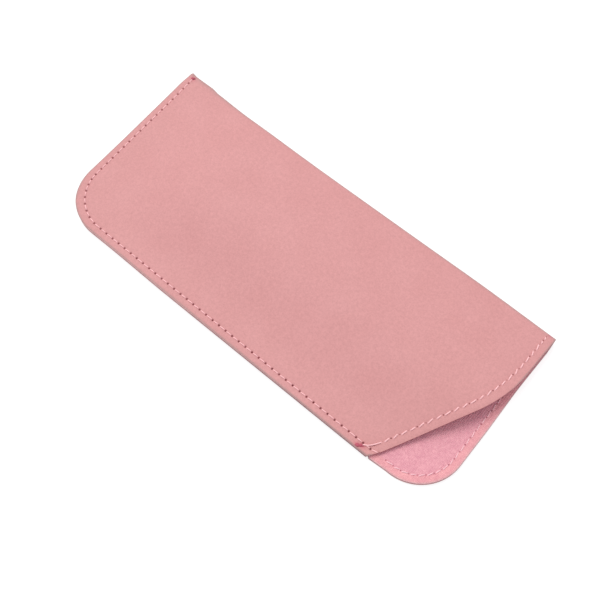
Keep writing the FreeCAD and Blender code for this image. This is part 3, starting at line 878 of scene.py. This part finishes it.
front_dense = np.concatenate([punched(seam_line, front_holes[1:]), punched(hem_line, hem_holes)])
leather_front = front_sheet(
    "leather_front",
    0.0,
    0.0,
    LEATHER,
    together(
        sewn(seam_line, front_holes[1:], 0.04, 0.8, SEAM_HOLE, 1.0, 0.1, 0.34),
        sewn(hem_line, hem_holes, 0.03, 0.5, HEM_HOLE, 0.65, 0.8),
    ),
    front_dense,
    [leather, leather_edge],
    LEATHER_BEVEL,
)
leather_back = back_sheet(
    "leather_back",
    0.0,
    0.0,
    LEATHER,
    sewn(seam_line, seam_holes, 0.25, 0.6, SEAM_HOLE, 0.8),
    punched(seam_line, seam_holes),
    [leather, leather_edge],
    LEATHER_BEVEL,
)
lining_front = front_sheet(
    "lining_front",
    LINING_INSET,
    WALL,
    LEATHER + GLUE,
    sewn(hem_line, hem_holes, 0.05, 0.2, HEM_HOLE, 0.5),
    punched(hem_line, hem_holes),
    [lining, lining],
    LINING_BEVEL,
)
lining_back = back_sheet(
    "lining_back",
    LINING_INSET,
    WALL,
    LEATHER + GLUE,
    sewn(seam_line, rim_holes, 0.04, 0.3, RIM_HOLE, 1.0, 0.4),
    punched(seam_line, rim_holes),
    [lining, lining],
    LINING_BEVEL,
)

# ---- Threads -----------------------------------------------------------------------------------


def strand(points, ups, radii, twist=1.3, around=10):
    """Closed two-ply thread along the points: vertices and faces."""
    points = np.asarray(points, float)
    ways = np.gradient(points, axis=0)
    ways /= np.linalg.norm(ways, axis=1)[:, None]
    sides = np.cross(ways, ups)
    sides /= np.linalg.norm(sides, axis=1)[:, None]
    ups = np.cross(sides, ways)
    run = np.concatenate([[0], np.cumsum(np.linalg.norm(np.diff(points, axis=0), axis=1))])
    vertices, faces = [], []
    for i, point in enumerate(points):
        for k in range(around):
            a = 2 * math.pi * k / around
            ply = 1 + 0.17 * math.cos(2 * (a - 2 * math.pi * run[i] / twist))
            vertices.append(point + radii[i] * ply * (math.cos(a) * sides[i] + math.sin(a) * ups[i]))
    for i in range(len(points) - 1):
        for k in range(around):
            j = (k + 1) % around
            faces.append([i * around + k, i * around + j, (i + 1) * around + j, (i + 1) * around + k])
    for end in (0, len(points) - 1):
        tip = len(vertices)
        vertices.append(points[end])
        for k in range(around):
            faces.append([tip, end * around + k, end * around + (k + 1) % around])
    return vertices, faces


def gathered(name, strands, look):
    """One object of several strands."""
    vertices, faces = [], []
    for made, shape in strands:
        faces += [[i + len(vertices) for i in f] for f in shape]
        vertices += list(made)
    return new_object(name, vertices, faces, [look])


def stitches(name, holes, surface, proud, depth, look, width=THREAD, power=4.0, trim=0.2, slant=0.0):
    """A stitch between each two neighbouring holes. surface(points, h) is h above the sheet, and
    slant is how far each stitch's two ends stand off the line, to its right and to its left."""
    strands = []
    for number, ((a, _), (b, _)) in enumerate(zip(holes, holes[1:])):
        way = unit(b - a)
        ease = trim * (1 + 0.25 * math.sin(2.4 * number))
        lean = slant * (1 + 0.4 * math.sin(1.7 * number))
        start = a + way * ease - leftwards(way) * lean
        end = b - way * ease + leftwards(way) * lean
        share = (1 - np.cos(np.linspace(0, math.pi, 15))) / 2
        plan = start + (end - start) * share[:, None]
        rise = proud - (proud + depth) * np.abs(2 * share - 1) ** power
        points = surface(plan, rise)
        ups = surface(plan, rise + 0.1) - points
        strands.append(strand(points, ups, np.full(len(points), width / 2)))
    return gathered(name, strands, look)


def on_front(plan, rise):
    return front_place(plan, -rise)


def under_front_lining(plan, rise):
    return front_place(plan, WALL + rise)


def on_back_lining(plan, rise):
    return back_place(plan, WALL + rise)


def under_back(plan, rise):
    return back_place(plan, -rise)


seam_top = stitches(
    "seam_stitches_front", front_holes, on_front, 0.05, 0.6, seam_thread, 0.42, 4.0, 0.45, 0.05
)
seam_under = stitches("seam_stitches_back", front_holes, under_back, -0.24, 0.4, seam_thread, 0.42)
rim_top = stitches(
    "rim_stitches_lining", rim_holes, on_back_lining, 0.07, 0.4, rim_thread, 0.42, 4.0, 0.42, 0.2
)
# The first of these bridges the seam's last hole through both walls and the rim's first.
under_rim_holes = seam_holes[through_both - 1 :]
rim_under = stitches("rim_stitches_back", under_rim_holes, under_back, -0.24, 0.4, seam_thread, 0.42)
hem_top = stitches(
    "hem_stitches_front", hem_holes[1:], on_front, 0.13, 0.5, thread, 0.52, 5.0, 0.57, 0.28
)
hem_under = stitches(
    "hem_stitches_lining", hem_holes[1:], under_front_lining, 0.06, 0.3, thread, 0.42
)


def eased_path(plan, count, passes):
    """Points evenly shared out along a plan's corners, then rounded off: their shares and places."""
    plan = np.asarray(plan, float)
    share = np.linspace(0, 1, count)
    spread = np.linspace(0, 1, len(plan))
    xy = np.stack([np.interp(share, spread, plan[:, i]) for i in (0, 1)], 1)
    for _ in range(passes):
        xy[1:-1] = (xy[:-2] + 2 * xy[1:-1] + xy[2:]) / 4
    return share, xy


# The hem's first stitch is long and loose, and its end is melted into a drop beside the seam.
TAIL_POINTS, LUMP_POINTS = 26, 22
tail_plan = [hem_holes[1][0], (61.6, -32.3), (60.5, -33.8), (59.4, -34.9), (58.0, -35.7)]
share, tail_xy = eased_path(tail_plan, TAIL_POINTS, 2)
tail_rise = 0.24 - 0.75 * np.exp(-((share / 0.07) ** 2))
tail_ups = np.tile((0, 0, 1.0), (TAIL_POINTS, 1))
tail_strand = strand(on_front(tail_xy, tail_rise), tail_ups, np.full(TAIL_POINTS, 0.24))
tail = gathered("hem_tail_strand", [tail_strand], thread)


def melted(name, plan, radii, rise):
    """A lump of melted thread: a strand of uneven thickness that lies on the leather."""
    share, xy = eased_path(plan, LUMP_POINTS, 3)
    thick = np.interp(share, np.linspace(0, 1, len(radii)), radii)
    ups = np.tile((0, 0, 1.0), (LUMP_POINTS, 1))
    made = strand(on_front(xy, np.full(LUMP_POINTS, rise)), ups, thick, twist=5.0, around=14)
    return gathered(name, [made], crimson)


drop = melted(
    "melted_drop",
    [(58.7, -35.85), (57.95, -36.05), (57.15, -36.6), (56.55, -36.95), (55.95, -37.3)],
    [0.15, 0.42, 0.66, 0.46, 0.66, 0.46, 0.2],
    -0.1,
)
knot = melted(
    "backtack_lump", [(-85.2, 35.5), (-84.6, 35.9), (-83.8, 36.4)], [0.3, 0.5, 0.46, 0.3, 0.1], 0.1
)


def stain(piece, spots, reach):
    """Marks where the dye of the melted thread has run into the leather."""
    points = np.array([v.co[:] for v in piece.data.vertices]) / MM
    upper = points[:, 2] > WALL
    near = gaps(points[:, :2], tree_of(spots))
    values = np.where(upper, np.exp(-((near / reach) ** 2)), 0.0)
    piece.data.attributes.new("stained", "FLOAT", "POINT").data.foreach_set("value", values)


drop_spots = [(58.4, -35.9), (57.6, -36.2), (56.8, -36.6), (56.2, -36.9)]
knot_spots, tip_spot = [(-84.7, 36.0), (-84.4, 36.3)], (84.7, 36.5)
stain(leather_front, drop_spots + knot_spots + [tip_spot], 0.9)

# ---- Bodies, and the CAD parts that these meshes replace ---------------------------------------


for piece in (leather_front, lining_front, hem_top, hem_under):
    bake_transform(piece)
for piece in (leather_back, lining_back, rim_top, rim_under):
    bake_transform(piece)
for piece in (seam_top, seam_under, tail, drop, knot):
    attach(piece, "pouch")

for piece, slot, nodes_replaced in (
    (leather_front, "leather", ["leather_front_panel", "leather_fold", "leather_lip"]),
    (leather_back, "leather", ["leather_back_panel", "leather_tab"]),
    (lining_front, "lining", ["lining_front_panel", "lining_fold", "lining_lip"]),
    (lining_back, "lining", ["lining_back_panel", "lining_tab"]),
    (seam_top, "thread", ["seam_needle_thread"]),
    (seam_under, "thread", ["seam_bobbin_thread"]),
    (rim_top, "thread", ["rim_needle_thread", "tab_needle_thread"]),
    (rim_under, "thread", ["rim_bobbin_thread", "tab_bobbin_thread"]),
    (hem_top, "thread", ["hem_needle_thread", "hem_end_needle_thread"]),
    (hem_under, "thread", ["hem_bobbin_thread", "hem_end_bobbin_thread"]),
    (tail, "thread", ["hem_thread_tail"]),
    (drop, "melted_thread", ["melted_thread_end"]),
    (knot, "melted_thread", ["backtack_knot"]),
):
    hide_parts(*nodes_replaced)

# ---- Studio ------------------------------------------------------------------------------------


def floor_look(nodes, links, shader):
    """A white light table: it glows faintly, so that only a thin shadow shows beside the case."""
    shader.inputs["Base Color"].default_value = (0.3, 0.3, 0.3, 1)
    shader.inputs["Emission Color"].default_value = (1, 1, 1, 1)
    shader.inputs["Emission Strength"].default_value = 0.74
    shader.inputs["Roughness"].default_value = 0.9
    shader.inputs["Specular IOR Level"].default_value = 0.1


bpy.ops.mesh.primitive_plane_add(size=60, location=(0, 0, -0.0001))
floor = bpy.context.object
floor.name = "floor"
floor.data.materials.append(material("floor_white", floor_look))

world = bpy.data.worlds.new("studio")
bpy.context.scene.world = world
world.use_nodes = True
world.node_tree.nodes["Background"].inputs["Color"].default_value = (1.0, 0.945, 1.0, 1)
world.node_tree.nodes["Background"].inputs["Strength"].default_value = 0.88


def soft_light(name, location, target, size, power, colour):
    light = bpy.data.lights.new(name, "AREA")
    light.color = colour
    light.shape, light.size, light.energy = "DISK", size, power
    made = bpy.data.objects.new(name, light)
    made.location = location
    made.rotation_mode = "QUATERNION"
    made.rotation_quaternion = (Vector(target) - Vector(location)).to_track_quat("-Z", "Y")
    bpy.context.scene.collection.objects.link(made)


soft_light(
    "key", (-0.76, 0.44, 1.80), target=(0, 0, 0), size=1.2, power=25.6, colour=(0.98, 1.05, 0.98)
)

camera_data = bpy.data.cameras.new("camera")
camera_data.sensor_width = 36
camera_data.lens = 52.08
camera_data.clip_start = 0.01
camera = bpy.data.objects.new("camera", camera_data)
bpy.context.scene.collection.objects.link(camera)
# Where the camera stands, from the point on the floor plane that it looks at.
AZIMUTH, ELEVATION, DISTANCE = math.radians(39.86), math.radians(68.37), 313.5 * MM
LOOKS_AT = Vector((7.70 * MM, -8.16 * MM, 0))
back_way = Vector(
    (
        math.sin(AZIMUTH) * math.cos(ELEVATION),
        -math.cos(AZIMUTH) * math.cos(ELEVATION),
        math.sin(ELEVATION),
    )
)
camera.location = LOOKS_AT + back_way * DISTANCE
camera.rotation_mode = "QUATERNION"
camera.rotation_quaternion = (-back_way).to_track_quat("-Z", "Y")
bpy.context.scene.camera = camera
bpy.context.scene.view_settings.view_transform = "Standard"
